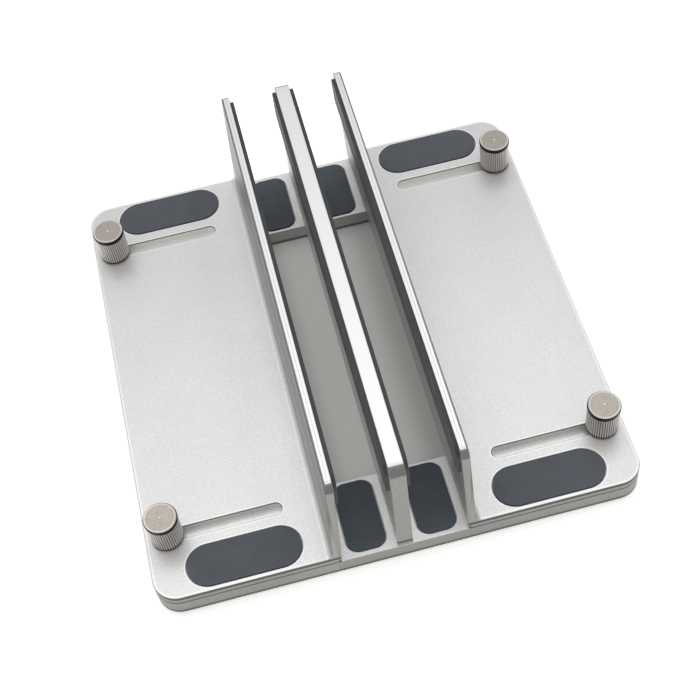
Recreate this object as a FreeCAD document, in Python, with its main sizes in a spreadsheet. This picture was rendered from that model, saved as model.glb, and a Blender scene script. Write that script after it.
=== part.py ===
# Vertical laptop stand with two slots. A base frame with a window carries a fixed centre wall, and two
# L-shaped brackets slide outwards on it. Four thumb screws through the guide slots clamp the brackets.
#
# Frame: millimetres, X to the right along the front edge, Y towards the back, Z up. The origin is the
# middle of the footprint, on the surface that the feet stand on.

import FreeCAD
import Part
import math
import os
import Sketcher

# Driving sizes: alias, value in millimetres (or a count), meaning.
SIZES = (
    ("base_width", 160.0, "base frame, side to side"),
    ("base_depth", 165.4, "base frame, front to back"),
    ("base_thickness", 6.8, "base frame, height of the plate"),
    ("plan_corner", 8.0, "outer corners of the base and the wings, seen from above"),
    ("side_strip", 32.0, "base frame beside the window"),
    ("end_strip", 28.0, "base frame in front of the window and behind it"),
    ("window_corner", 4.0, "corner radius of the window"),
    ("edge_round", 0.4, "small rounding of the metal edges"),
    ("wing_thickness", 3.3, "flat wing of a bracket"),
    ("wall_thickness", 2.7, "upright wall of a bracket, square to its face"),
    ("wall_rise", 44.0, "height of the walls above the wings"),
    ("slot_gap", 18.2, "from the centre wall to the foot of a bracket wall"),
    ("wall_lean", 1.7, "how far a bracket wall leans inwards over its height"),
    ("wall_end_round", 3.5, "upper front and rear corners of a bracket wall"),
    ("root_round", 2.0, "hollow rounding between wing and wall"),
    ("heel_round", 2.4, "rounding under the wall's inner face"),
    ("centre_thickness", 5.1, "fixed wall in the middle"),
    ("centre_end_round", 4.0, "upper front and rear corners of the centre wall"),
    ("screw_side_inset", 7.3, "thumb screw axis from the side edge"),
    ("screw_end_inset", 22.4, "thumb screw axis from the front or rear edge"),
    ("screw_diameter", 4.0, "thread of a thumb screw"),
    ("thread_play", 0.05, "gap all round a thread in its hole"),
    ("screw_end_gap", 0.8, "from the screw's end to the underside of the base"),
    ("guide_slot_width", 4.3, "guide slot in a wing"),
    ("slide_travel", 35.4, "how far a bracket slides outwards"),
    ("knob_diameter", 11.0, "rim of a thumb screw's head"),
    ("knob_height", 12.8, "height of a thumb screw's head"),
    ("rim_height", 1.3, "smooth rim at the top of the head"),
    ("rim_bevel", 0.5, "bevel round the top and the foot of the head"),
    ("neck_height", 0.5, "groove under the rim"),
    ("neck_depth", 0.8, "depth of the groove under the rim"),
    ("grip_step", 0.15, "how far the knurled grip lies inside the rim"),
    ("dimple_radius", 0.4, "turned centre mark in the top of the head"),
    ("dimple_depth", 0.1, "depth of the centre mark"),
    ("knurl_count", 42, "straight grooves round the grip"),
    ("knurl_depth", 0.3, "depth of a knurl groove"),
    ("liner_thickness", 1.2, "soft liner on a wall"),
    ("liner_height", 13.5, "height of a liner"),
    ("liner_end_inset", 1.8, "from the wall's front and rear ends to the liner"),
    ("liner_top_inset", 0.6, "from the top of the wall to the liner"),
    ("liner_upper_corner", 4.0, "upper front and rear corners of a liner"),
    ("liner_lower_corner", 1.0, "lower front and rear corners of a liner"),
    ("pad_thickness", 0.8, "soft pads on the wings and in the slots"),
    ("recess_depth", 0.4, "shallow seat of a pad"),
    ("recess_play", 0.2, "gap all round a pad or a foot in its seat"),
    ("mouth_round", 0.25, "rounding round the pad seats and the guide slots"),
    ("wing_pad_length", 37.3, "stadium pad on a wing, side to side"),
    ("wing_pad_width", 14.5, "stadium pad on a wing, front to back"),
    ("wing_pad_wall_gap", 8.2, "stadium pad from the foot of a bracket wall's outer face"),
    ("wing_pad_end_inset", 1.6, "stadium pad from the front or rear edge"),
    ("slot_pad_width", 12.8, "pad on the floor of a slot, side to side"),
    ("slot_pad_depth", 24.9, "pad on the floor of a slot, front to back"),
    ("slot_pad_corner", 4.0, "corner radius of a slot pad"),
    ("slot_pad_end_inset", 1.8, "slot pad from the front or rear edge"),
    ("foot_diameter", 12.0, "rubber foot"),
    ("foot_thickness", 2.0, "rubber foot, with the part in its seat"),
    ("foot_recess", 0.8, "seat of a foot in the underside"),
    ("foot_side_inset", 11.0, "foot's centre from the side edge"),
    ("foot_end_inset", 9.2, "foot's centre from the front or rear edge"),
    ("foot_round", 0.4, "rounding of a foot's lower edge"),
    ("fixing_diameter", 3.0, "countersunk screw that holds the centre wall"),
    ("fixing_length", 14.0, "countersunk screw, over all"),
    ("fixing_head_diameter", 5.6, "countersunk head"),
    ("fixing_head_height", 1.6, "countersunk head"),
    ("fixing_sink", 0.2, "how far the head lies below the underside"),
    ("fixing_end_play", 0.5, "free depth beyond the screw's end"),
    ("fixing_outer_inset", 7.5, "outer fixing from the front or rear edge"),
    ("fixing_pitch", 13.0, "from the outer fixing to the inner one"),
    ("socket_flats", 2.0, "hexagon socket across its flats"),
    ("socket_depth", 1.0, "hexagon socket"),
)

SIDES = {"left": -1, "right": 1}
ENDS = {"front": -1, "rear": 1}
FIXINGS = ("outer", "inner")

# How edges are picked: degrees off an axis, degrees between two faces, and millimetres off a place.
TILT_LIMIT = 8.0
FOLD_LIMIT = 20.0
NEAR = 0.05

doc = FreeCAD.newDocument("laptop_stand")
sheet = doc.addObject("Spreadsheet::Sheet", "sizes")
for row, (alias, value, meaning) in enumerate(SIZES, start=1):
    sheet.set(f"A{row}", meaning)
    sheet.set(f"B{row}", str(value))
    sheet.setAlias(f"B{row}", alias)
doc.recompute()


class Size:
    """A length that carries its value and the sheet expression that gives it."""

    def __init__(self, value, text):
        self.value = value
        self.text = text

    def __neg__(self):
        return Size(-self.value, f"(-{self.text})")

    def __add__(self, other):
        other = as_size(other)
        return Size(self.value + other.value, f"({self.text} + {other.text})")

    def __sub__(self, other):
        other = as_size(other)
        return Size(self.value - other.value, f"({self.text} - {other.text})")

    def __mul__(self, other):
        other = as_size(other)
        return Size(self.value * other.value, f"({self.text} * {other.text})")

    def __truediv__(self, other):
        other = as_size(other)
        return Size(self.value / other.value, f"({self.text} / {other.text})")


def as_size(number):
    """A Size as it is, or a plain number as a Size."""
    if isinstance(number, Size):
        return number
    return Size(float(number), f"({float(number)})")


def cell(alias):
    """The Size of a named cell of the sheet."""
    return Size(float(sheet.get(alias)), f"sizes.{alias}")


S = {alias: cell(alias) for alias, value, meaning in SIZES}

# Places that several pieces share.
half_width = S["base_width"] / 2
half_depth = S["base_depth"] / 2
window_width = S["base_width"] - S["side_strip"] * 2
window_depth = S["base_depth"] - S["end_strip"] * 2
floor_to_base = S["foot_thickness"] - S["foot_recess"]
base_top = floor_to_base + S["base_thickness"]
wing_top = base_top + S["wing_thickness"]
wall_height = S["wing_thickness"] + S["wall_rise"]
centre_face = S["centre_thickness"] / 2
wall_foot = centre_face + S["slot_gap"]
lean_per_height = S["wall_lean"] / wall_height
lean_angle = math.atan(lean_per_height.value)
wall_skew = S["wall_thickness"] / math.cos(lean_angle)
wall_root = wall_foot - lean_per_height * S["wing_thickness"] + wall_skew
screw_x = half_width - S["screw_side_inset"]
screw_y = half_depth - S["screw_end_inset"]
screw_radius = S["screw_diameter"] / 2
slot_pad_x = centre_face + S["slot_gap"] / 2
slot_pad_y = half_depth - S["slot_pad_end_inset"] - S["slot_pad_depth"] / 2
wing_pad_x = wall_root + S["wing_pad_wall_gap"] + S["wing_pad_length"] / 2
wing_pad_y = half_depth - S["wing_pad_end_inset"] - S["wing_pad_width"] / 2
foot_x = half_width - S["foot_side_inset"]
foot_y = half_depth - S["foot_end_inset"]
fixing_y = {
    "outer": half_depth - S["fixing_outer_inset"],
    "inner": half_depth - S["fixing_outer_inset"] - S["fixing_pitch"],
}

parts = []


def bind(item, prop, size):
    """Tie a property of an object to the sheet."""
    item.setExpression(prop, size.text)


def new_body(label, x=None, y=None, z=None):
    """A sub-part, with its own origin put at x, y, z."""
    body = doc.addObject("PartDesign::Body", label)
    body.Label = label
    for axis, size in (("x", x), ("y", y), ("z", z)):
        if size is not None:
            bind(body, f"Placement.Base.{axis}", size)
    parts.append(body)
    return body


def sketch_on(body, role, offset=None):
    """An empty sketch on one of the body's origin planes, or on a plane parallel to it."""
    sketch = body.newObject("Sketcher::SketchObject", body.Label + "_sketch")
    plane = next(item for item in body.Origin.OriginFeatures if item.Role == role)
    sketch.AttachmentSupport = (plane, [""])
    sketch.MapMode = "FlatFace"
    if offset is not None:
        bind(sketch, "AttachmentOffset.Base.z", offset)
    return sketch


def pin(sketch, geometry, point, place):
    """Hold a point of a sketch at its place, measured from the sketch's origin."""
    for kind, size in zip(("DistanceX", "DistanceY"), place):
        rule = sketch.addConstraint(Sketcher.Constraint(kind, -1, 1, geometry, point, size.value))
        bind(sketch, f"Constraints[{rule}]", size)


def vector(place):
    """A sketch place as a vector."""
    return FreeCAD.Vector(place[0].value, place[1].value, 0)


def polygon(sketch, places):
    """A closed outline of straight lines with every corner held."""
    first = sketch.GeometryCount
    count = len(places)
    for index in range(count):
        line = Part.LineSegment(vector(places[index]), vector(places[(index + 1) % count]))
        sketch.addGeometry(line, False)
    for index in range(count):
        following = first + (index + 1) % count
        sketch.addConstraint(Sketcher.Constraint("Coincident", first + index, 2, following, 1))
    for index, place in enumerate(places):
        pin(sketch, first + index, 1, place)


def rectangle(sketch, x_low, x_high, y_low, y_high):
    """A rectangle between two values of each sketch axis."""
    polygon(sketch, [(x_low, y_low), (x_high, y_low), (x_high, y_high), (x_low, y_high)])


def circle(sketch, place, radius):
    """A circle with its centre held and its radius tied to the sheet."""
    index = sketch.addGeometry(Part.Circle(vector(place), FreeCAD.Vector(0, 0, 1), radius.value), False)
    pin(sketch, index, 3, place)
    rule = sketch.addConstraint(Sketcher.Constraint("Radius", index, radius.value))
    bind(sketch, f"Constraints[{rule}]", radius)


def rounded_outline(sketch, corners, radius):
    """A closed outline of tangent lines and arcs round the given arc centres, anticlockwise.

    Each corner is (centre place, start angle, end angle), with the angles in degrees.
    """
    first = sketch.GeometryCount
    arcs = []
    for place, start, end in corners:
        ring = Part.Circle(vector(place), FreeCAD.Vector(0, 0, 1), radius.value)
        arcs.append(Part.ArcOfCircle(ring, math.radians(start), math.radians(end)))
    for index, arc in enumerate(arcs):
        following = arcs[(index + 1) % len(arcs)]
        sketch.addGeometry(arc, False)
        sketch.addGeometry(Part.LineSegment(arc.EndPoint, following.StartPoint), False)
    count = 2 * len(arcs)
    for index in range(0, count, 2):
        arc = first + index
        line = arc + 1
        following = first + (index + 2) % count
        sketch.addConstraint(Sketcher.Constraint("Tangent", arc, 2, line, 1))
        sketch.addConstraint(Sketcher.Constraint("Tangent", line, 2, following, 1))
        pin(sketch, arc, 3, corners[index // 2][0])
        rule = sketch.addConstraint(Sketcher.Constraint("Radius", arc, radius.value))
        bind(sketch, f"Constraints[{rule}]", radius)


def rounded_rectangle(sketch, place, width, depth, radius):
    """A rectangle with round corners about a place."""
    reach_x = width / 2 - radius
    reach_y = depth / 2 - radius
    corners = [
        ((place[0] + reach_x, place[1] + reach_y), 0, 90),
        ((place[0] - reach_x, place[1] + reach_y), 90, 180),
        ((place[0] - reach_x, place[1] - reach_y), 180, 270),
        ((place[0] + reach_x, place[1] - reach_y), 270, 360),
    ]
    rounded_outline(sketch, corners, radius)


def stadium(sketch, x_low, x_high, y, radius):
    """A slot shape along the sketch's first axis, given by the centres of its two round ends."""
    rounded_outline(sketch, [((x_high, y), -90, 90), ((x_low, y), 90, 270)], radius)


def pad(body, sketch, length, symmetric=False):
    """Thicken a sketch along its normal, or half to each side."""
    feature = body.newObject("PartDesign::Pad", body.Label + "_pad")
    feature.Profile = sketch
    feature.SideType = "Symmetric" if symmetric else "One side"
    bind(feature, "Length", length)
    doc.recompute()
    return feature


def pocket(body, sketch, depth=None, upwards=False):
    """Cut a sketch into the solid, to a depth or right through, and check that it did cut."""
    before = body.Shape.Volume
    feature = body.newObject("PartDesign::Pocket", body.Label + "_pocket")
    feature.Profile = sketch
    feature.Reversed = upwards
    if depth is None:
        feature.Type = "ThroughAll"
    else:
        bind(feature, "Length", depth)
    doc.recompute()
    if feature.Shape.Volume >= before:
        raise ValueError(f"{feature.Label} removes nothing")
    return feature


def spin(body, sketch):
    """Turn a half section on the XZ plane about the vertical axis."""
    feature = body.newObject("PartDesign::Revolution", body.Label + "_turned")
    feature.Profile = sketch
    feature.ReferenceAxis = (sketch, ["V_Axis"])
    feature.Angle = 360
    doc.recompute()
    return feature


def edges(body, wanted):
    """Names of the body's edges for which wanted(middle point, direction, edge) is true."""
    names = []
    for number, edge in enumerate(body.Tip.Shape.Edges, start=1):
        half_way = (edge.FirstParameter + edge.LastParameter) / 2
        if wanted(edge.valueAt(half_way), edge.tangentAt(half_way), edge):
            names.append(f"Edge{number}")
    if not names:
        raise ValueError(f"{body.Label} has no such edge")
    return names


def fold(shape, edge, place):
    """Angle in degrees between the faces on the two sides of an edge, at a place on it."""
    normals = []
    for face in shape.ancestorsOfType(edge, Part.Face):
        normals.append(face.normalAt(*face.Surface.parameter(place)))
    if len(normals) < 2:
        return 0
    return math.degrees(normals[0].getAngle(normals[1]))


def sharp_edges(body, level=None):
    """Names of the edges where two faces meet at more than FOLD_LIMIT degrees, all or at one height."""
    shape = body.Tip.Shape

    def wanted(middle, way, edge):
        return (level is None or flat_at(edge, level)) and fold(shape, edge, middle) > FOLD_LIMIT

    return edges(body, wanted)


def fillet(body, names, radius):
    """Round the named edges of the body."""
    base = body.Tip
    feature = body.newObject("PartDesign::Fillet", body.Label + "_round")
    feature.Base = (base, names)
    bind(feature, "Radius", radius)
    doc.recompute()
    return feature


def near(value, size):
    """Whether a coordinate lies at a size."""
    return abs(value - size.value) < NEAR


def along(direction, axis):
    """Whether an edge runs along an axis, either way, give or take TILT_LIMIT degrees."""
    tilt = math.degrees(direction.getAngle(axis))
    return min(tilt, 180 - tilt) < TILT_LIMIT


def crosswise(direction):
    """Whether an edge runs along X."""
    return along(direction, FreeCAD.Vector(1, 0, 0))


def lengthwise(direction):
    """Whether an edge runs along Y."""
    return along(direction, FreeCAD.Vector(0, 1, 0))


def upright(direction):
    """Whether an edge runs along Z."""
    return along(direction, FreeCAD.Vector(0, 0, 1))


def wall_ends(body):
    """Names of the upper front and rear edges of a body's wall."""

    def wanted(middle, way, edge):
        return near(abs(middle.y), half_depth) and near(middle.z, wall_height)

    return edges(body, wanted)


def flat_at(edge, size):
    """Whether an edge lies in the level plane at a height."""
    return near(edge.BoundBox.ZMin, size) and near(edge.BoundBox.ZMax, size)


def make_base_frame():
    """The plate with its window, screw holes, and seats for the pads and feet."""
    body = new_body("base_frame", z=floor_to_base)
    outline = sketch_on(body, "XY_Plane")
    rectangle(outline, -half_width, half_width, -half_depth, half_depth)
    pad(body, outline, S["base_thickness"])
    fillet(body, edges(body, lambda middle, way, edge: upright(way)), S["plan_corner"])

    window = sketch_on(body, "XY_Plane")
    centre = (as_size(0), as_size(0))
    rounded_rectangle(window, centre, window_width, window_depth, S["window_corner"])
    pocket(body, window, upwards=True)
    fillet(body, sharp_edges(body), S["edge_round"])

    threads = sketch_on(body, "XY_Plane")
    for side in SIDES.values():
        for end in ENDS.values():
            circle(threads, (screw_x * side, screw_y * end), screw_radius + S["thread_play"])
    pocket(body, threads, upwards=True)

    feet = sketch_on(body, "XY_Plane")
    for side in SIDES.values():
        for end in ENDS.values():
            circle(feet, (foot_x * side, foot_y * end), S["foot_diameter"] / 2 + S["recess_play"])
    pocket(body, feet, S["foot_recess"], upwards=True)

    pads = sketch_on(body, "XY_Plane", S["base_thickness"])
    width = S["slot_pad_width"] + S["recess_play"] * 2
    depth = S["slot_pad_depth"] + S["recess_play"] * 2
    for side in SIDES.values():
        for end in ENDS.values():
            place = (slot_pad_x * side, slot_pad_y * end)
            rounded_rectangle(pads, place, width, depth, S["slot_pad_corner"] + S["recess_play"])
    pocket(body, pads, S["recess_depth"])
    fillet(body, sharp_edges(body, S["base_thickness"]), S["mouth_round"])

    for end in ENDS.values():
        for name in FIXINGS:
            cut_countersink(body, fixing_y[name] * end)


def cut_countersink(body, y):
    """A clearance hole with a conical mouth in the underside, for one fixing of the centre wall."""
    radius = S["fixing_diameter"] / 2 + S["thread_play"]
    mouth = S["fixing_head_diameter"] / 2 + S["thread_play"]
    cone_top = S["fixing_sink"] + S["fixing_head_height"]
    section = sketch_on(body, "XZ_Plane", -y)
    axis = as_size(0)
    corners = [
        (axis, axis),
        (mouth, axis),
        (mouth, S["fixing_sink"]),
        (radius, cone_top),
        (radius, S["base_thickness"]),
        (axis, S["base_thickness"]),
    ]
    polygon(section, corners)
    before = body.Shape.Volume
    hole = body.newObject("PartDesign::Groove", "base_frame_fixing_hole")
    hole.Profile = section
    hole.ReferenceAxis = (section, ["V_Axis"])
    hole.Angle = 360
    doc.recompute()
    if hole.Shape.Volume >= before:
        raise ValueError("a fixing hole removes nothing")


def make_centre_wall():
    """The fixed wall, with blind holes in its foot for the four fixings."""
    body = new_body("centre_wall", z=base_top)
    outline = sketch_on(body, "YZ_Plane")
    rectangle(outline, -half_depth, half_depth, as_size(0), wall_height)
    pad(body, outline, S["centre_thickness"], symmetric=True)
    fillet(body, wall_ends(body), S["centre_end_round"])
    fillet(body, sharp_edges(body), S["edge_round"])

    holes = sketch_on(body, "XY_Plane")
    for end in ENDS.values():
        for name in FIXINGS:
            circle(holes, (as_size(0), fixing_y[name] * end), S["fixing_diameter"] / 2 + S["thread_play"])
    above_base = S["fixing_length"] + S["fixing_sink"] - S["base_thickness"]
    pocket(body, holes, above_base + S["fixing_end_play"], upwards=True)


def wall_inner_face(height):
    """Distance of a bracket wall's inner face from the middle, at a height above the base."""
    return wall_foot - lean_per_height * height


def make_bracket(name, side):
    """A wing and a leaning wall in one piece, with two guide slots and two pad seats."""
    body = new_body(name + "_bracket", z=base_top)
    wing = S["wing_thickness"]
    profile = sketch_on(body, "XZ_Plane")
    corners = [
        (half_width, as_size(0)),
        (half_width, wing),
        (wall_root, wing),
        (wall_inner_face(wall_height) + wall_skew, wall_height),
        (wall_inner_face(wall_height), wall_height),
        (wall_inner_face(as_size(0)), as_size(0)),
    ]
    polygon(profile, [(x * side, z) for x, z in corners])
    pad(body, profile, S["base_depth"], symmetric=True)

    tips = edges(body, lambda middle, way, edge: upright(way) and near(abs(middle.x), half_width))
    fillet(body, tips, S["plan_corner"])
    fillet(body, wall_ends(body), S["wall_end_round"])
    root = edges(body, lambda middle, way, edge: lengthwise(way) and near(abs(middle.x), wall_root))
    fillet(body, root, S["root_round"])

    def at_heel(middle, way, edge):
        return lengthwise(way) and near(abs(middle.x), wall_foot) and near(middle.z, as_size(0))

    fillet(body, edges(body, at_heel), S["heel_round"])
    fillet(body, sharp_edges(body), S["edge_round"])

    guides = sketch_on(body, "XY_Plane")
    inner = screw_x - S["slide_travel"]
    low, high = (inner, screw_x) if side > 0 else (-screw_x, -inner)
    for end in ENDS.values():
        stadium(guides, low, high, screw_y * end, S["guide_slot_width"] / 2)
    pocket(body, guides, upwards=True)

    seats = sketch_on(body, "XY_Plane", wing)
    reach = (S["wing_pad_length"] - S["wing_pad_width"]) / 2
    for end in ENDS.values():
        middle = wing_pad_x * side
        radius = S["wing_pad_width"] / 2 + S["recess_play"]
        stadium(seats, middle - reach, middle + reach, wing_pad_y * end, radius)
    pocket(body, seats, S["recess_depth"])
    fillet(body, sharp_edges(body, wing), S["mouth_round"])


def make_liner(name, back, front):
    """A soft strip on a wall. back and front give its two faces' X at a height above the base."""
    body = new_body(name, z=base_top)
    high = wall_height - S["liner_top_inset"]
    low = high - S["liner_height"]
    section = sketch_on(body, "XZ_Plane", S["liner_end_inset"] - half_depth)
    polygon(section, [(back(low), low), (front(low), low), (front(high), high), (back(high), high)])
    pad(body, section, S["base_depth"] - S["liner_end_inset"] * 2)
    upper = edges(body, lambda middle, way, edge: crosswise(way) and near(middle.z, high))
    fillet(body, upper, S["liner_upper_corner"])
    lower = edges(body, lambda middle, way, edge: crosswise(way) and near(middle.z, low))
    fillet(body, lower, S["liner_lower_corner"])


def make_liners():
    """One strip on each bracket wall and one on each face of the centre wall."""
    thickness = S["liner_thickness"]
    skew = thickness / math.cos(lean_angle)
    for name, side in SIDES.items():
        make_liner(
            f"liner_{name}_wall",
            lambda height: wall_inner_face(height) * side,
            lambda height: (wall_inner_face(height) - skew) * side,
        )
        make_liner(
            f"liner_centre_{name}",
            lambda height: centre_face * side,
            lambda height: (centre_face + thickness) * side,
        )


def make_wing_pad(name, side, end):
    """A stadium pad in its seat on a wing."""
    place = (wing_pad_x * side, wing_pad_y * end, wing_top - S["recess_depth"])
    body = new_body(name, *place)
    outline = sketch_on(body, "XY_Plane")
    reach = (S["wing_pad_length"] - S["wing_pad_width"]) / 2
    stadium(outline, -reach, reach, as_size(0), S["wing_pad_width"] / 2)
    pad(body, outline, S["pad_thickness"])


def make_slot_pad(name, side, end):
    """A pad in its seat on the floor of a laptop slot."""
    place = (slot_pad_x * side, slot_pad_y * end, base_top - S["recess_depth"])
    body = new_body(name, *place)
    outline = sketch_on(body, "XY_Plane")
    centre = (as_size(0), as_size(0))
    rounded_rectangle(outline, centre, S["slot_pad_width"], S["slot_pad_depth"], S["slot_pad_corner"])
    pad(body, outline, S["pad_thickness"])


def make_foot(name, side, end):
    """A rubber disc in its seat in the underside."""
    body = new_body(name, foot_x * side, foot_y * end)
    outline = sketch_on(body, "XY_Plane")
    circle(outline, (as_size(0), as_size(0)), S["foot_diameter"] / 2)
    pad(body, outline, S["foot_thickness"])
    lower = edges(body, lambda middle, way, edge: flat_at(edge, as_size(0)))
    fillet(body, lower, S["foot_round"])


def make_thumb_screw(name, side, end):
    """A turned head with a straight knurl and a threaded shank, in one piece."""
    body = new_body(name, screw_x * side, screw_y * end, wing_top)
    rim = S["knob_diameter"] / 2
    grip = rim - S["grip_step"]
    bevel = S["rim_bevel"]
    top = S["knob_height"]
    rim_low = top - S["rim_height"]
    grip_high = rim_low - S["neck_height"]
    shank_low = S["screw_end_gap"] - S["base_thickness"] - S["wing_thickness"]
    axis = as_size(0)
    section = sketch_on(body, "XZ_Plane")
    corners = [
        (axis, shank_low),
        (screw_radius - bevel, shank_low),
        (screw_radius, shank_low + bevel),
        (screw_radius, axis),
        (grip - bevel, axis),
        (grip, bevel),
        (grip, grip_high),
        (rim - S["neck_depth"], grip_high),
        (rim - S["neck_depth"], rim_low),
        (rim, rim_low),
        (rim, top - bevel),
        (rim - bevel, top),
        (S["dimple_radius"], top),
        (axis, top - S["dimple_depth"]),
    ]
    polygon(section, corners)
    spin(body, section)

    groove = sketch_on(body, "XY_Plane", grip_high)
    inside = grip - S["knurl_depth"]
    outside = grip + S["knurl_depth"]
    half_mouth = S["knurl_depth"] * 2
    polygon(groove, [(inside, axis), (outside, -half_mouth), (outside, half_mouth)])
    cut = pocket(body, groove, grip_high - bevel)
    knurl = body.newObject("PartDesign::PolarPattern", name + "_knurl")
    knurl.Originals = [cut]
    knurl.Axis = (groove, ["N_Axis"])
    knurl.Angle = 360
    bind(knurl, "Occurrences", S["knurl_count"])
    body.Tip = knurl
    doc.recompute()


def make_fixing(name, y):
    """A countersunk socket screw that holds the centre wall from below."""
    body = new_body(name, y=y, z=floor_to_base + S["fixing_sink"])
    radius = S["fixing_diameter"] / 2
    head = S["fixing_head_diameter"] / 2
    axis = as_size(0)
    section = sketch_on(body, "XZ_Plane")
    corners = [
        (axis, axis),
        (head, axis),
        (radius, S["fixing_head_height"]),
        (radius, S["fixing_length"]),
        (axis, S["fixing_length"]),
    ]
    polygon(section, corners)
    spin(body, section)

    socket = sketch_on(body, "XY_Plane")
    flats = S["socket_flats"] / 2
    corner_reach = flats * (2 / math.sqrt(3))
    turns = [math.radians(60 * step) for step in range(6)]
    polygon(socket, [(corner_reach * math.cos(turn), corner_reach * math.sin(turn)) for turn in turns])
    pocket(body, socket, S["socket_depth"], upwards=True)


make_base_frame()
make_centre_wall()
for side_name, side_sign in SIDES.items():
    make_bracket(side_name, side_sign)
make_liners()
for end_name, end_sign in ENDS.items():
    for side_name, side_sign in SIDES.items():
        corner_name = f"{end_name}_{side_name}"
        make_wing_pad("wing_pad_" + corner_name, side_sign, end_sign)
        make_slot_pad("slot_pad_" + corner_name, side_sign, end_sign)
        make_foot("foot_" + corner_name, side_sign, end_sign)
        make_thumb_screw("thumb_screw_" + corner_name, side_sign, end_sign)
    for fixing in FIXINGS:
        make_fixing(f"wall_screw_{end_name}_{fixing}", fixing_y[fixing] * end_sign)
doc.recompute()

for item in doc.Objects:
    if "Invalid" in item.State or "Error" in item.State:
        raise ValueError(f"{item.Label} failed: {item.State}")
for part in parts:
    if part.Shape.isNull() or not part.Shape.isValid():
        raise ValueError(f"{part.Label} has no valid shape")

os.makedirs("parts", exist_ok=True)
for part in parts:
    part.Shape.exportStep(os.path.join("parts", part.Label + ".step"))
    box = part.Shape.BoundBox
    print(part.Label, len(part.Shape.Solids), round(part.Shape.Volume, 1), box)
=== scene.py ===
"""Looks of the vertical laptop stand: bead-blasted aluminium, soft dark pads, knurled thumb screws.

Everything is in metres in the part's own frame: X to the right, Y towards the back, Z up.
"""

import math

import bpy
from mathutils import Matrix, Vector


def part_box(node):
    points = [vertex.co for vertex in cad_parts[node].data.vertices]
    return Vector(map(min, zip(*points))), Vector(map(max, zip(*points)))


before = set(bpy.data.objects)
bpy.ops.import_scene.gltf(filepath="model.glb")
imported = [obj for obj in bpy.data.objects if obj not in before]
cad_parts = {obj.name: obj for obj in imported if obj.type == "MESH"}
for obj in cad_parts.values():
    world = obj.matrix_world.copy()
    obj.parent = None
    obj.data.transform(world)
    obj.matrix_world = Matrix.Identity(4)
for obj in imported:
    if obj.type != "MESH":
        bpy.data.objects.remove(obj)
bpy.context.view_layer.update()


MM = 0.001
ENDS = ("front", "rear")
SIDES = ("left", "right")
CORNERS = [f"{end}_{side}" for end in ENDS for side in SIDES]

# Camera: place and lens in millimetres, angles in degrees.
CAMERA_PLACE = (-31.0, -276.8, 402.0)
CAMERA_HEADING = 8.14
CAMERA_DOWN = 55.32
CAMERA_ROLL = -7.19
CAMERA_LENS = 70.8
CAMERA_SHIFT_X = -0.03
CAMERA_NEAREST = 0.01
CAMERA_FARTHEST = 60.0

# One soft lamp overhead, a little to the rear.
LAMP_PLACE = (0.0, 0.14, 0.80)
LAMP_TARGET = (0.0, 0.0, 0.02)
LAMP_SIZE = 0.85
LAMP_POWER = 1.98

# Brightness of the studio, from the horizon at 0 to straight overhead at 1.
STUDIO_STEPS = [(0.0, 0.66), (0.25, 0.62), (0.45, 0.52), (0.60, 0.46),
                (0.75, 0.53), (0.90, 0.70), (1.0, 0.80)]

# Floor: its colour to the eye and in reflections, and in the light that it throws back. To the eye
# it also glows, less under the stand than away from it: away from it the glow keeps the floor
# white, and under the stand it is painted light on the floor in the window. All of it is dimmer
# inside the window, most towards the sides, which is painted shade.
FLOOR_HALF_SIZE = 25.0
FLOOR_SEEN = (1.0, 1.0, 0.965)
FLOOR_THROWN_BACK = (0.40, 0.40, 0.38)
FLOOR_GLOW_UNDER, FLOOR_GLOW_AWAY = 0.10, 0.52
FLOOR_DIM_MIDDLE, FLOOR_DIM_SIDES = 0.91, 0.60

# Rounded outlines in plan, the same on all four corners: centre, half core and corner radius.
OUTLINE = ((0.0, 0.0, 0.0), (0.072, 0.0747, 0.0), 0.008)
WING_SEAT = ((0.05018, 0.07385, 0.0), (0.0114, 0.0, 0.0), 0.00745)
SLOT_SEAT = ((0.01165, 0.06845, 0.0), (0.0024, 0.00845, 0.0), 0.0042)
GUIDE_SLOT = ((0.055, 0.0603, 0.0), (0.0177, 0.0, 0.0), 0.00215)
WINDOW = ((0.0, 0.0, 0.0), (0.044, 0.0507, 0.0), 0.004)

# Heights, distances from the middle and a radius that the finishes and the painted light and shade
# follow, and two small widths.
UNDERSIDE = 0.0012
SEAM = 0.008
WING_TOP = 0.0113
WALL_TOP = 0.0553
KNOB_TOP = 0.0241
KNOB_RADIUS = 0.0055
WING_START = 0.0208
WALL_OUTER_FACE = 0.0217
HAIR = 0.0001
RIM = 0.00042

# How far up a face looks: a level one more than LEVEL, the upper half of a rim more than UPPER_RIM,
# and an upright one less than UPRIGHT.
LEVEL = 0.985
UPPER_RIM = 0.75
UPRIGHT = 0.5

# Aluminium: scales in features per metre, depth of the grain, roughness from low grain to high.
METAL_GRAIN_SCALE = 1700.0
METAL_CLOUD_SCALE = 45.0
METAL_GRAIN_DEPTH = 0.000012
METAL_ROUGHNESS = (0.44, 0.38)
RIM_ROUGHNESS = (0.28, 0.28, 0.28)
METALLIC_FACE, METALLIC_RIM = 0.65, 0.2
# The colour of the grain, and the painted shade that it is multiplied by, from an upright face to a
# level one.
METAL_GRAIN = [(0.30, (0.735, 0.735, 0.735)), (0.70, (0.845, 0.845, 0.845))]
METAL_SIDES_PAINTED_SHADE = [(0.0, (0.41, 0.41, 0.39)), (0.35, (0.46, 0.46, 0.44)), (0.9, 1.0)]
# Painted light and shade multiplied in on a bracket wall's outer face, from the wing up, and
# painted shade on the turned ends of the walls.
OUTER_FACE = [(0.0, 1.12), (0.20, 0.92), (0.55, 0.58), (0.72, 0.62), (1.0, 0.88)]
WALL_ENDS_PAINTED_SHADE = [(0.03, 1.0), (0.18, 0.45), (0.90, 0.42), (LEVEL, 1.0)]
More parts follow.
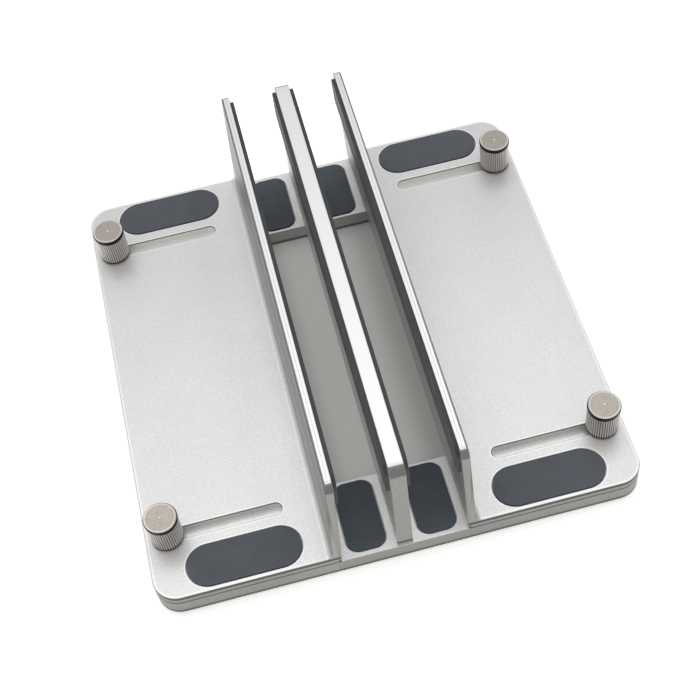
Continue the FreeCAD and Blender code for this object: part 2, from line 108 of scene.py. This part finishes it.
# Painted light and shade multiplied in at places of their own: light on the window sides and the
# base top, shade on the others.
WINDOW_SIDE_PAINTED_LIGHT = (1.65, 1.66, 1.74)
BASE_TOP_PAINTED_LIGHT = (1.22, 1.22, 1.22)
UNDER_EDGE_PAINTED_SHADE = (0.33, 0.33, 0.32)
WALL_TOP_MIDDLE_PAINTED_SHADE = (0.80, 0.80, 0.79)
WALL_TOP_OUTER_PAINTED_SHADE = (0.30, 0.30, 0.29)
SLOT_PAINTED_SHADE = (0.50, 0.50, 0.49)
UNDER_RIM_PAINTED_SHADE = (0.24, 0.24, 0.23)
SEAM_PAINTED_SHADE = (0.30, 0.30, 0.29)
UNDERSIDE_PAINTED_SHADE = (0.38, 0.38, 0.36)
# Painted highlights on edges, rims and tops, where the bevels catch the light.
EDGE_HIGHLIGHT = (0.93, 0.93, 0.93)
RIM_HIGHLIGHT = (0.96, 0.96, 0.96)
TOP_HIGHLIGHT = (0.92, 0.92, 0.92)

# Nickel: the turning marks, the knurl with painted shade in its grooves, and the places on the
# head:
# painted highlights on its edge and bevel, and painted shade in its collar and at its foot.
NICKEL_RING_SCALE = 310.0
NICKEL_GRAIN_SCALE = 900.0
NICKEL_GRAIN_SHARE = 0.72
NICKEL_MARK_DEPTH = 0.000006
NICKEL_ROUGHNESS = (0.46, 0.38)
TURNING_MARKS = [(0.2, (0.405, 0.371, 0.332)), (0.8, (0.53, 0.486, 0.436))]
KNURL_GROOVE_PAINTED_SHADE = (0.20, 0.188, 0.177)
KNURL_RIDGE = (0.72, 0.685, 0.65)
CENTRE_MARK = (0.80, 0.76, 0.72)
HEAD_EDGE_HIGHLIGHT = (0.70, 0.665, 0.625)
HEAD_BEVEL_HIGHLIGHT = (0.95, 0.92, 0.88)
HEAD_COLLAR_PAINTED_SHADE = (0.02, 0.018, 0.016)
HEAD_FOOT_PAINTED_SHADE = (0.10, 0.10, 0.095)
BEVEL_DEPTH = 0.00024

# Silicone and rubber, and how much painted light lightens the liners' faces to the sides.
SKIN_SCALE = 2200.0
SKIN_CLOUD_SCALE = 120.0
SKIN_DEPTH = 0.00002
SKIN_ROUGHNESS_SPREAD = 0.06
LINER_ROUGHNESS = 0.55
PAD_ROUGHNESS = 0.60
FOOT_ROUGHNESS = 0.75
LINER_COLOUR = (0.052, 0.057, 0.060)
LINER_SIDE_PAINTED_LIGHT = 3.2
WING_PAD_COLOUR = (0.096, 0.105, 0.122)
SLOT_PAD_COLOUR = (0.098, 0.117, 0.138)
FOOT_COLOUR = (0.020, 0.020, 0.021)

# Steel under black oxide.
STEEL_GRAIN_SCALE = 700.0
BLACK_OXIDE = [(0.3, (0.035, 0.035, 0.038)), (0.7, (0.06, 0.06, 0.063))]
STEEL_ROUGHNESS = [(0.3, 0.42), (0.7, 0.32)]


def fill_ramp(node, stops):
    """Set the stops of a ramp node: (position, grey or colour)."""
    elements = node.color_ramp.elements
    while len(elements) < len(stops):
        elements.new(0.5)
    for element, (position, colour) in zip(elements, stops):
        if isinstance(colour, float):
            colour = (colour, colour, colour)
        element.position = position
        element.color = (*colour, 1.0)


class Material:
    """A material with one Principled shader and short ways to add nodes to it."""

    def __init__(self, name):
        self.data = bpy.data.materials.new(name)
        self.data.use_nodes = True
        self.tree = self.data.node_tree
        self.shader = self.tree.nodes["Principled BSDF"]

    def node(self, kind, **values):
        """A new node. Values name its properties, or its inputs by labels with underscores."""
        made = self.tree.nodes.new(kind)
        for key, value in values.items():
            if hasattr(made, key):
                setattr(made, key, value)
            else:
                made.inputs[key.replace("_", " ")].default_value = value
        return made

    def link(self, source, target):
        """Join an output to an input."""
        self.tree.links.new(source, target)

    def feed(self, value, socket):
        """Give an input an output to read, a colour or a number."""
        if isinstance(value, bpy.types.NodeSocket):
            self.link(value, socket)
        elif isinstance(value, tuple):
            socket.default_value = (*value, 1.0)
        else:
            socket.default_value = value

    def set(self, **values):
        """Plain values on the shader's own sockets."""
        for key, value in values.items():
            self.shader.inputs[key.replace("_", " ")].default_value = value

    def finish(self, colour, roughness, normal=None):
        """What the shader gets from the nodes."""
        self.link(colour, self.shader.inputs["Base Color"])
        self.link(roughness, self.shader.inputs["Roughness"])
        if normal is not None:
            self.link(normal, self.shader.inputs["Normal"])
        return self.data

    def place(self, stretch=(1.0, 1.0, 1.0), origin=(0.0, 0.0, 0.0)):
        """Object coordinates, moved to an origin and stretched."""
        texture = self.node("ShaderNodeTexCoord")
        mapping = self.node("ShaderNodeMapping")
        mapping.vector_type = "POINT"
        mapping.inputs["Scale"].default_value = stretch
        mapping.inputs["Location"].default_value = [-o * s for o, s in zip(origin, stretch)]
        self.link(texture.outputs["Object"], mapping.inputs["Vector"])
        return mapping.outputs["Vector"]

    def axes(self):
        """The three coordinates in the part's own frame."""
        split = self.node("ShaderNodeSeparateXYZ")
        self.link(self.place(), split.inputs["Vector"])
        return split.outputs["X"], split.outputs["Y"], split.outputs["Z"]

    def facing(self):
        """How far a face looks to the back, and how far it looks up, each from -1 to 1."""
        geometry = self.node("ShaderNodeNewGeometry")
        split = self.node("ShaderNodeSeparateXYZ")
        self.link(geometry.outputs["Normal"], split.inputs["Vector"])
        return split.outputs["Y"], split.outputs["Z"]

    def math(self, operation, first, second=0.0):
        """One sum of one or two values."""
        made = self.node("ShaderNodeMath", operation=operation)
        self.feed(first, made.inputs[0])
        self.feed(second, made.inputs[1])
        return made.outputs[0]

    def unsigned(self, value):
        """A value without its sign."""
        return self.math("ABSOLUTE", value)

    def above(self, value, low):
        """1 where a value is above a number, otherwise 0."""
        return self.math("GREATER_THAN", value, low)

    def below(self, value, high):
        """1 where a value is below a number, otherwise 0."""
        return self.math("LESS_THAN", value, high)

    def between(self, value, low, high):
        """1 where a value lies between two others, otherwise 0."""
        return self.both(self.above(value, low), self.below(value, high))

    def both(self, first, second, *more):
        """1 where all of the masks are 1."""
        mask = self.math("MULTIPLY", first, second)
        for further in more:
            mask = self.math("MULTIPLY", mask, further)
        return mask

    def either(self, first, second):
        """The larger of two values: 1 where either of two masks is 1."""
        return self.math("MAXIMUM", first, second)

    def fade(self, value, low, high, first, last):
        """A soft change from one number at a low value to another at a high one."""
        made = self.node("ShaderNodeMapRange", interpolation_type="SMOOTHSTEP")
        self.link(value, made.inputs["Value"])
        made.inputs["From Min"].default_value = low
        made.inputs["From Max"].default_value = high
        made.inputs["To Min"].default_value = first
        made.inputs["To Max"].default_value = last
        return made.outputs["Result"]

    def vector(self, operation, first, second=None):
        """One sum of one or two vectors."""
        made = self.node("ShaderNodeVectorMath", operation=operation)
        self.link(first, made.inputs[0])
        if second is not None:
            made.inputs[1].default_value = second
        return made.outputs["Vector"]

    def length(self, vector):
        """The length of a vector."""
        made = self.node("ShaderNodeVectorMath", operation="LENGTH")
        self.link(vector, made.inputs[0])
        return made.outputs["Value"]

    def beyond(self, outline):
        """Distance outwards from a rounded outline in plan, negative inside."""
        centre, core, corner = outline
        flat = self.vector("MULTIPLY", self.place(), (1.0, 1.0, 0.0))
        apart = self.vector("SUBTRACT", self.vector("ABSOLUTE", flat), centre)
        over = self.vector("SUBTRACT", self.vector("ABSOLUTE", apart), core)
        reach = self.length(self.vector("MAXIMUM", over, (0.0, 0.0, 0.0)))
        return self.math("SUBTRACT", reach, corner)

    def noise(self, vector, scale, detail, roughness=0.5):
        """The value of a noise texture."""
        made = self.node("ShaderNodeTexNoise", Scale=scale, Detail=detail, Roughness=roughness)
        self.link(vector, made.inputs["Vector"])
        return made.outputs["Fac"]

    def ramp(self, value, stops):
        """A colour or grey ramp over a value; stops are (position, grey or colour)."""
        made = self.node("ShaderNodeValToRGB")
        fill_ramp(made, stops)
        self.link(value, made.inputs["Fac"])
        return made.outputs["Color"]

    def mix(self, kind, first, second, share):
        """Two colours mixed; share is a number or an output."""
        made = self.node("ShaderNodeMix", data_type="RGBA", blend_type=kind)
        for value, index in ((share, 0), (first, 6), (second, 7)):
            self.feed(value, made.inputs[index])
        return made.outputs[2]

    def painted(self, colour, paint, mask):
        """A colour replaced by another where a mask is 1."""
        return self.mix("MIX", colour, paint, mask)

    def tinted(self, colour, tint, mask=1.0):
        """A colour multiplied by a tint where a mask is 1."""
        return self.mix("MULTIPLY", colour, tint, mask)

    def bump(self, height, distance):
        """A bump of a real depth."""
        made = self.node("ShaderNodeBump", Distance=distance)
        self.link(height, made.inputs["Height"])
        return made.outputs["Normal"]


class Aluminium(Material):
    """Bead-blasted, clear anodised aluminium of the base, the centre wall and the brackets."""

    def __init__(self):
        super().__init__("anodised_aluminium")
        self.set(IOR=1.5)
        self.x, self.y, self.height = self.axes()
        self.from_middle = self.unsigned(self.x)
        self.rearwards, self.tilt = self.facing()
        self.steep = self.unsigned(self.tilt)
        self.outwards = self.beyond(OUTLINE)
        self.from_slot = self.beyond(GUIDE_SLOT)
        self.in_window = self.both(self.below(self.beyond(WINDOW), 0.0002),
                                   self.below(self.height, SEAM - 0.0003))

    def built(self):
        """The whole material, ready to use."""
        place = self.place()
        grain = self.noise(place, METAL_GRAIN_SCALE, 2.0, 0.6)
        cloud = self.noise(place, METAL_CLOUD_SCALE, 2.0)
        colour = self.ramp(grain, METAL_GRAIN)
        colour = self.tinted(colour, self.fade(cloud, 0.3, 0.7, 0.97, 1.0))
        # Painted light on the wing beside the left wall, where the wall's shade falls.
        painted_light_by_left_wall = self.fade(self.x, -0.042, -0.026, 1.0, 1.13)
        colour = self.tinted(colour, painted_light_by_left_wall, self.below(self.x, -0.022))
        # Painted shade on upright faces, by how far a face looks up.
        colour = self.tinted(colour, self.ramp(self.steep, METAL_SIDES_PAINTED_SHADE))
        colour = self.painted_light_inside(colour)
        colour = self.painted_wall_shading(colour)
        colour, highlighted_rims = self.edges(colour)
        colour = self.painted_wall_tops(colour)
        colour = self.lines(colour)
        metallic = self.fade(highlighted_rims, 0.0, 1.0, METALLIC_FACE, METALLIC_RIM)
        self.link(metallic, self.shader.inputs["Metallic"])
        roughness = self.fade(grain, 0.3, 0.7, *METAL_ROUGHNESS)
        roughness = self.painted(roughness, RIM_ROUGHNESS, highlighted_rims)
        return self.finish(colour, roughness, self.bump(grain, METAL_GRAIN_DEPTH))

    def painted_light_inside(self, colour):
        """Painted light on the sides of the guide slots, the window and the channels, and on the
        base top.
        """
        in_slot = self.both(self.below(self.from_slot, HAIR),
                            self.between(self.height, SEAM - HAIR, WING_TOP - 0.0003),
                            self.below(self.steep, UPRIGHT))
        # Painted light on the sides of the guide slots, more towards the rear.
        colour = self.tinted(colour, self.fade(self.y, -0.06, 0.06, 2.2, 2.8), in_slot)
        # Painted light on the faces of the window.
        colour = self.tinted(colour, WINDOW_SIDE_PAINTED_LIGHT, self.in_window)
        in_channel = self.both(self.below(self.from_middle, WING_START),
                               self.above(self.height, SEAM + 0.0005),
                               self.below(self.steep, UPRIGHT),
                               self.below(self.unsigned(self.rearwards), UPRIGHT))
        # Painted light on the faces in the channels, most beside the centre wall.
        lighter = self.fade(self.from_middle, 0.004, 0.018, 2.8, 1.7)
        colour = self.tinted(colour, lighter, in_channel)
        # Painted light on the base top.
        on_base = self.between(self.height, SEAM - 0.0003, SEAM + 0.0003)
        return self.tinted(colour, BASE_TOP_PAINTED_LIGHT, on_base)

    def painted_wall_shading(self, colour):
        """Painted light and shade on the outer faces of the bracket walls, changing upwards, and
        painted shade on the walls' turned ends.
        """
        climb = self.fade(self.height, 0.012, WALL_TOP, 0.0, 1.0)
        outer = self.both(self.above(self.from_middle, WALL_OUTER_FACE),
                          self.between(self.height, 0.0122, WALL_TOP - 0.0007))
        # Painted light low on the outer face and painted shade higher up.
        colour = self.tinted(colour, self.ramp(climb, OUTER_FACE), outer)
        # Painted shade on the turned ends of the walls.
        near_top = self.between(self.height, 0.040, WALL_TOP - HAIR)
        return self.tinted(colour, self.ramp(self.tilt, WALL_ENDS_PAINTED_SHADE), near_top)

    def edges(self, colour):
        """Painted highlights on edges of level faces, and on rims a painted highlight above and
        painted shade below.

        Gives the colour, and where the rims have their painted highlight.
        """
        low_rims = self.between(self.height, WING_TOP - RIM, WING_TOP + 0.00003)
        rims = self.either(low_rims, self.above(self.height, WALL_TOP - RIM))
        edge = self.either(self.between(self.beyond(WING_SEAT), 0.0, 0.0006),
                           self.between(self.from_slot, 0.00025, 0.0007))
        edge = self.both(edge, self.above(self.height, SEAM + 0.001))
        edge = self.either(edge, self.between(self.outwards, -0.0009, -0.0003))
        edge = self.either(edge, self.between(self.beyond(SLOT_SEAT), 0.0, 0.0006))
        edge = self.both(edge, self.above(self.tilt, LEVEL),
                         self.below(self.height, WING_TOP + HAIR))
        # Painted highlight on the edges of level faces.
        colour = self.painted(colour, EDGE_HIGHLIGHT, edge)
        # Painted highlight on the upper halves of rims, and painted shade on their lower halves.
        upper = self.both(rims, self.between(self.tilt, UPPER_RIM, LEVEL),
                          self.below(self.rearwards, 0.3))
        colour = self.painted(colour, RIM_HIGHLIGHT, upper)
        lower = self.both(rims, self.between(self.tilt, -0.2, UPPER_RIM))
        return self.tinted(colour, UNDER_EDGE_PAINTED_SHADE, lower), upper

    def painted_wall_tops(self, colour):
        """Painted highlight on the tops, with a thin painted shade line in the middle and painted
        shade on the outer edge of the bracket walls.
        """
        tops = self.both(self.above(self.height, WALL_TOP - 0.0002),
                         self.above(self.tilt, UPPER_RIM))
        # Painted highlight on the tops of the walls.
        colour = self.painted(colour, TOP_HIGHLIGHT, tops)
        middle = self.both(tops, self.between(self.from_middle, 0.0201, 0.0204))
        colour = self.tinted(colour, WALL_TOP_MIDDLE_PAINTED_SHADE, middle)
        outer_edge = self.both(self.between(self.from_middle, 0.02115, 0.0218),
                               self.above(self.height, WALL_TOP - 0.0004))
        return self.tinted(colour, WALL_TOP_OUTER_PAINTED_SHADE, outer_edge)

    def lines(self, colour):
        """Lines of painted shade: round the guide slots, under the rim, in the seam and along the
        underside.
        """
        at_slot = self.both(self.between(self.from_slot, -HAIR, 0.00025),
                            self.between(self.height, WING_TOP - 0.0003, WING_TOP + HAIR))
        colour = self.tinted(colour, SLOT_PAINTED_SHADE, at_slot)
        outside = self.above(self.outwards, -0.0006)
        under_rim = self.both(outside,
                              self.between(self.height, WING_TOP - 0.0014, WING_TOP - 0.0004))
        colour = self.tinted(colour, UNDER_RIM_PAINTED_SHADE, under_rim)
        # Painted shade in the seam between the wings and the base.
        at_seam = self.both(outside, self.between(self.height, SEAM - 0.0004, SEAM + 0.0004),
                            self.above(self.from_middle, WING_START))
        colour = self.tinted(colour, SEAM_PAINTED_SHADE, at_seam)
        # Painted shade along the underside, close to the floor.
        at_foot = self.both(self.either(outside, self.in_window),
                            self.between(self.height, UNDERSIDE, UNDERSIDE + 0.0017))
        return self.tinted(colour, UNDERSIDE_PAINTED_SHADE, at_foot)


def soft_silicone(name, colour, roughness, upright=1.0):
    """Matte silicone with a faint skin; upright is how much painted light lightens its side faces.
    """
    made = Material(name)
    made.set(IOR=1.41)
    place = made.place()
    skin = made.noise(place, SKIN_SCALE, 2.0)
    cloud = made.noise(place, SKIN_CLOUD_SCALE, 3.0)
    low = tuple(0.92 * channel for channel in colour)
    high = tuple(1.08 * channel for channel in colour)
    shade = made.ramp(cloud, [(0.3, low), (0.7, high)])
    rearwards, tilt = made.facing()
    off_side = made.either(made.unsigned(rearwards), made.unsigned(tilt))
    # Painted light on the side faces, by upright.
    shade = made.tinted(shade, made.fade(off_side, 0.1, 0.8, upright, 1.0))
    spread = SKIN_ROUGHNESS_SPREAD
    matte = made.fade(skin, 0.3, 0.7, roughness - spread, roughness + spread)
    return made.finish(shade, matte, made.bump(skin, SKIN_DEPTH))


def turned_nickel(name, axis):
    """Satin nickel with turning marks round a vertical axis, a painted highlight on the bevel and
    painted shade in the collar.
    """
    made = Material(name)
    made.set(Metallic=0.8)
    flat = made.place(origin=(axis[0], axis[1], 0.0), stretch=(1.0, 1.0, 0.0))
    rings = made.node("ShaderNodeTexWave", wave_type="RINGS", rings_direction="SPHERICAL",
                      Scale=NICKEL_RING_SCALE, Distortion=4.0, Detail=2.0)
    made.link(flat, rings.inputs["Vector"])
    fine = made.noise(made.place(), NICKEL_GRAIN_SCALE, 3.0)
    turned = made.mix("MIX", rings.outputs["Fac"], fine, NICKEL_GRAIN_SHARE)
    metal = made.ramp(turned, TURNING_MARKS)

    height = made.axes()[2]
    reach = made.math("DIVIDE", made.length(flat), KNOB_RADIUS)
    raised = made.fade(reach, 0.925, 0.965, 0.0, 1.0)
    # Painted shade in the knurl's grooves, against lighter ridges.
    grip = made.painted(KNURL_GROOVE_PAINTED_SHADE, KNURL_RIDGE, raised)
    colour = made.painted(metal, grip, made.below(height, KNOB_TOP - 0.0018))
    colour = made.painted(colour, CENTRE_MARK, made.below(reach, 0.065))
    # Painted highlight on a ring at the edge of the head.
    edge = made.both(made.between(reach, 0.855, 0.905), made.above(height, KNOB_TOP - HAIR))
    colour = made.painted(colour, HEAD_EDGE_HIGHLIGHT, edge)
    # Painted highlight on the bevel.
    bevel = made.both(made.between(height, KNOB_TOP - BEVEL_DEPTH, KNOB_TOP - 0.00002),
                      made.above(reach, 0.9))
    colour = made.painted(colour, HEAD_BEVEL_HIGHLIGHT, bevel)
    # Painted shade in the collar.
    collar = made.both(made.between(height, KNOB_TOP - 0.0019, KNOB_TOP - BEVEL_DEPTH),
                       made.above(reach, 0.7))
    colour = made.painted(colour, HEAD_COLLAR_PAINTED_SHADE, collar)
    # Painted shade at the knob's foot.
    foot = made.between(height, WING_TOP, WING_TOP + 0.0009)
    colour = made.tinted(colour, HEAD_FOOT_PAINTED_SHADE, foot)
    satin = made.fade(turned, 0.2, 0.8, *NICKEL_ROUGHNESS)
    return made.finish(colour, satin, made.bump(turned, NICKEL_MARK_DEPTH))


def black_steel():
    """Black oxide on steel."""
    made = Material("dark_steel")
    made.set(Metallic=0.9)
    fine = made.noise(made.place(), STEEL_GRAIN_SCALE, 3.0)
    return made.finish(made.ramp(fine, BLACK_OXIDE), made.ramp(fine, STEEL_ROUGHNESS))


def dress(node, material):
    """Give every material slot of a CAD node one material."""
    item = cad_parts[node]
    if not item.material_slots:
        item.data.materials.append(material)
    for slot in item.material_slots:
        slot.material = material


def dress_all():
    """The finish of every node."""
    metal = Aluminium().built()
    for node in ("base_frame", "centre_wall", "left_bracket", "right_bracket"):
        dress(node, metal)
    # The liners' side faces get painted light.
    liner = soft_silicone("silicone_liner", LINER_COLOUR, LINER_ROUGHNESS, LINER_SIDE_PAINTED_LIGHT)
    for strip in ("left_wall", "centre_left", "centre_right", "right_wall"):
        dress("liner_" + strip, liner)
    wing_pad = soft_silicone("silicone_wing_pad", WING_PAD_COLOUR, PAD_ROUGHNESS)
    slot_pad = soft_silicone("silicone_slot_pad", SLOT_PAD_COLOUR, PAD_ROUGHNESS)
    rubber = soft_silicone("rubber_foot", FOOT_COLOUR, FOOT_ROUGHNESS)
    for corner in CORNERS:
        dress("wing_pad_" + corner, wing_pad)
        dress("slot_pad_" + corner, slot_pad)
        dress("foot_" + corner, rubber)
        low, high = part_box("thumb_screw_" + corner)
        dress("thumb_screw_" + corner, turned_nickel("nickel_" + corner, (low + high) / 2))
    steel = black_steel()
    for end in ENDS:
        for fixing in ("outer", "inner"):
            dress(f"wall_screw_{end}_{fixing}", steel)


def add_camera():
    """The camera of the photograph."""
    camera = bpy.data.cameras.new("camera")
    camera.lens = CAMERA_LENS
    camera.shift_x = CAMERA_SHIFT_X
    camera.clip_start = CAMERA_NEAREST
    camera.clip_end = CAMERA_FARTHEST
    made = bpy.data.objects.new("camera", camera)
    heading = Matrix.Rotation(math.radians(-CAMERA_HEADING), 4, "Z")
    tilt = Matrix.Rotation(math.radians(90.0 - CAMERA_DOWN), 4, "X")
    roll = Matrix.Rotation(math.radians(CAMERA_ROLL), 4, "Z")
    place = Matrix.Translation(Vector(CAMERA_PLACE) * MM)
    made.matrix_world = place @ heading @ tilt @ roll
    bpy.context.scene.collection.objects.link(made)
    bpy.context.scene.camera = made


def floor_material():
    """Pale floor: white to the eye and in reflections, with a faint painted light and a soft
    painted shade inside the window.
    """
    made = Material("floor")
    made.set(Roughness=0.9, Specular_IOR_Level=0.0)
    path = made.node("ShaderNodeLightPath")
    seen = made.either(path.outputs["Is Camera Ray"], path.outputs["Is Glossy Ray"])
    seen = made.either(seen, path.outputs["Is Transmission Ray"])
    colour = made.mix("MIX", FLOOR_THROWN_BACK, FLOOR_SEEN, seen)
    from_middle = made.unsigned(made.axes()[0])
    # Painted shade on the floor inside the window, darkest towards the sides.
    dimmed = made.fade(from_middle, 0.009, 0.021, FLOOR_DIM_MIDDLE, FLOOR_DIM_SIDES)
    inside = made.below(made.beyond(WINDOW), 0.002)
    dim = made.painted((1.0, 1.0, 1.0), dimmed, inside)
    made.link(made.tinted(colour, dim), made.shader.inputs["Base Color"])

    away = made.beyond(OUTLINE)
    # Glow to the eye: away from the stand it keeps the floor white; under the stand it is painted
    # light in the window.
    share = made.fade(away, -0.010, 0.004, FLOOR_GLOW_UNDER, FLOOR_GLOW_AWAY)
    glow = made.node("ShaderNodeEmission", Color=(1.0, 1.0, 1.0, 1.0))
    made.link(made.math("MULTIPLY", made.tinted(share, dim), seen), glow.inputs["Strength"])
    added = made.node("ShaderNodeAddShader")
    made.link(made.shader.outputs["BSDF"], added.inputs[0])
    made.link(glow.outputs["Emission"], added.inputs[1])
    made.link(added.outputs["Shader"], made.tree.nodes["Material Output"].inputs["Surface"])
    return made.data


def add_floor():
    """A plain pale floor."""
    far = FLOOR_HALF_SIZE
    mesh = bpy.data.meshes.new("floor")
    corners = [(-far, -far, 0.0), (far, -far, 0.0), (far, far, 0.0), (-far, far, 0.0)]
    mesh.from_pydata(corners, [], [(0, 1, 2, 3)])
    made = bpy.data.objects.new("floor", mesh)
    bpy.context.scene.collection.objects.link(made)
    mesh.materials.append(floor_material())


def add_lamp():
    """A soft square lamp overhead."""
    lamp = bpy.data.lights.new("overhead", "AREA")
    lamp.size = LAMP_SIZE
    lamp.energy = LAMP_POWER
    made = bpy.data.objects.new("overhead", lamp)
    made.location = LAMP_PLACE
    aim = Vector(LAMP_TARGET) - Vector(LAMP_PLACE)
    made.rotation_euler = aim.to_track_quat("-Z", "Y").to_euler()
    bpy.context.scene.collection.objects.link(made)


def add_world():
    """A studio that is brightest overhead and dimmest a little over half way up."""
    world = bpy.data.worlds.new("studio")
    bpy.context.scene.world = world
    world.use_nodes = True
    nodes, links = world.node_tree.nodes, world.node_tree.links
    coordinates = nodes.new("ShaderNodeTexCoord")
    split = nodes.new("ShaderNodeSeparateXYZ")
    ramp = nodes.new("ShaderNodeValToRGB")
    fill_ramp(ramp, STUDIO_STEPS)
    links.new(coordinates.outputs["Generated"], split.inputs["Vector"])
    links.new(split.outputs["Z"], ramp.inputs["Fac"])
    links.new(ramp.outputs["Color"], nodes["Background"].inputs["Color"])


dress_all()
add_floor()
add_world()
add_lamp()
add_camera()
bpy.context.scene.view_settings.view_transform = "Standard"
